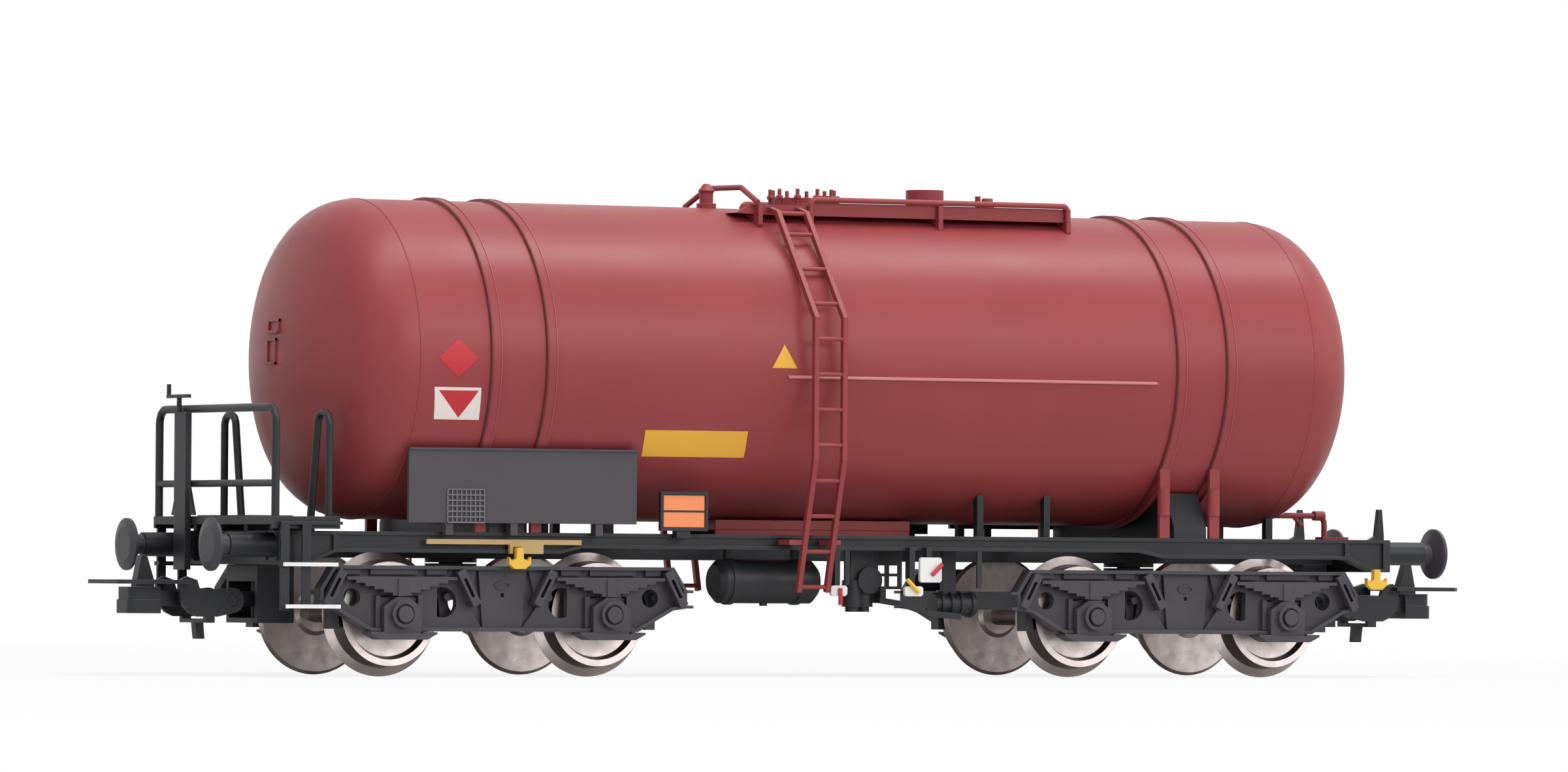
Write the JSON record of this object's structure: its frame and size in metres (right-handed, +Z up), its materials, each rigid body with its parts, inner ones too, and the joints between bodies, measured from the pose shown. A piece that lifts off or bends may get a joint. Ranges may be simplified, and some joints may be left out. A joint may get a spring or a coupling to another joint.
{
  "type": "model railway tank wagon",
  "caption": "Model tank wagon with a strapped round tank on a flat frame, bogies with flanged wheels, end platform, ladders, crown walkway, buffers and loop couplers.",
  "frame": {"origin": "centre of the bounding box in X and Y, at the wheel flanges' lowest points", "axes": "+X along the wagon away from the brake platform, +Y to the far side, +Z up"},
  "size_m": [0.154, 0.0354, 0.0499],
  "materials": {
    "tank_red": "satin",
    "frame_black": "satin",
    "bogie_black": "satin",
    "board_grey": "satin",
    "wheel_steel": "turned",
    "buffer_grey": "satin",
    "tan": "satin",
    "signal_yellow": "satin",
    "plate_white": "satin",
    "lever_red": "satin",
    "plate_orange": "satin"
  },
  "bodies": {
    "wagon": {"air_reservoir": "frame_black", "band_tensioners": "tank_red", "belly_strip": "tank_red", "body_bolsters": "frame_black", "brake_crank": "frame_black", "brake_cylinder": "frame_black", "brake_platform": "frame_black", "brake_post": "frame_black", "brake_rigging": "frame_black", "buffer_barrels": "frame_black", "buffer_heads": "buffer_grey", "centre_sill": "frame_black", "changeover_levers": "lever_red", "changeover_plates": "plate_white", "coupler_mounts": "frame_black", "cross_bearers": "frame_black", "drain_pipe": "tank_red", "end_railing": "frame_black", "filler_valve": "tank_red", "gear_straps": "frame_black", "hand_hoops": "frame_black", "headstocks": "frame_black", "label_board_far": "board_grey", "label_board_near": "board_grey", "ladder_far": "tank_red", "ladder_near": "tank_red", "lamp_irons": "frame_black", "lever_bars": "tan", "manhole": "tank_red", "plate_holders": "plate_orange", "relief_vent": "tank_red", "sole_bar_far": "frame_black", "sole_bar_near": "frame_black", "steps_far": "frame_black", "steps_near": "frame_black", "tank_bands": "tank_red", "tank_saddles": "frame_black", "tank_shell": "tank_red", "tank_struts": "frame_black", "tow_hooks": "signal_yellow", "vent_dome": "tank_red", "walkway": "tank_red", "walkway_brackets": "tank_red", "walkway_rails": "tank_red"},
    "bogie_left": {"axleboxes_left": "bogie_black", "bogie_brakes_left": "bogie_black", "bogie_frame_left": "bogie_black", "bogie_springs_left": "bogie_black"},
    "bogie_right": {"axleboxes_right": "bogie_black", "bogie_brakes_right": "bogie_black", "bogie_frame_right": "bogie_black", "bogie_springs_right": "bogie_black"},
    "bail_left": {"bail_left": "frame_black"},
    "bail_right": {"bail_right": "frame_black"},
    "coupler_left": {"coupler_head_left": "frame_black"},
    "coupler_right": {"coupler_head_right": "frame_black"},
    "wheelset_1": {"wheelset_1": "wheel_steel"},
    "wheelset_2": {"wheelset_2": "wheel_steel"},
    "wheelset_3": {"wheelset_3": "wheel_steel"},
    "wheelset_4": {"wheelset_4": "wheel_steel"}
  },
  "joints": [
    {"name": "bogie_yaw_left", "type": "hinge", "parent": "wagon", "child": "bogie_left", "pos_m": [-0.03908, 0, 0.0095], "axis": [0, 0, 1], "range_deg": [-7, 7]},
    {"name": "coupler_swing_left", "type": "hinge", "parent": "wagon", "child": "coupler_left", "pos_m": [-0.0602, 0, 0.0074], "axis": [0, 0, 1], "range_deg": [-8, 8]},
    {"name": "bail_lift_left", "type": "hinge", "parent": "coupler_left", "child": "bail_left", "pos_m": [-0.0644, 0, 0.0074], "axis": [0, 1, 0], "range_deg": [0, 18]},
    {"name": "bogie_yaw_right", "type": "hinge", "parent": "wagon", "child": "bogie_right", "pos_m": [0.03908, 0, 0.0095], "axis": [0, 0, 1], "range_deg": [-7, 7]},
    {"name": "coupler_swing_right", "type": "hinge", "parent": "wagon", "child": "coupler_right", "pos_m": [0.0602, 0, 0.0074], "axis": [0, 0, 1], "range_deg": [-8, 8]},
    {"name": "bail_lift_right", "type": "hinge", "parent": "coupler_right", "child": "bail_right", "pos_m": [0.0644, 0, 0.0074], "axis": [0, -1, 0], "range_deg": [0, 18]},
    {"name": "wheel_turn_1", "type": "hinge", "parent": "bogie_left", "child": "wheelset_1", "pos_m": [-0.05057, 0, 0.0062], "axis": [0, 1, 0], "continuous": true},
    {"name": "wheel_turn_2", "type": "hinge", "parent": "bogie_left", "child": "wheelset_2", "pos_m": [-0.02759, 0, 0.0062], "axis": [0, 1, 0], "continuous": true},
    {"name": "wheel_turn_3", "type": "hinge", "parent": "bogie_right", "child": "wheelset_3", "pos_m": [0.02759, 0, 0.0062], "axis": [0, 1, 0], "continuous": true},
    {"name": "wheel_turn_4", "type": "hinge", "parent": "bogie_right", "child": "wheelset_4", "pos_m": [0.05057, 0, 0.0062], "axis": [0, 1, 0], "continuous": true}
  ]
}
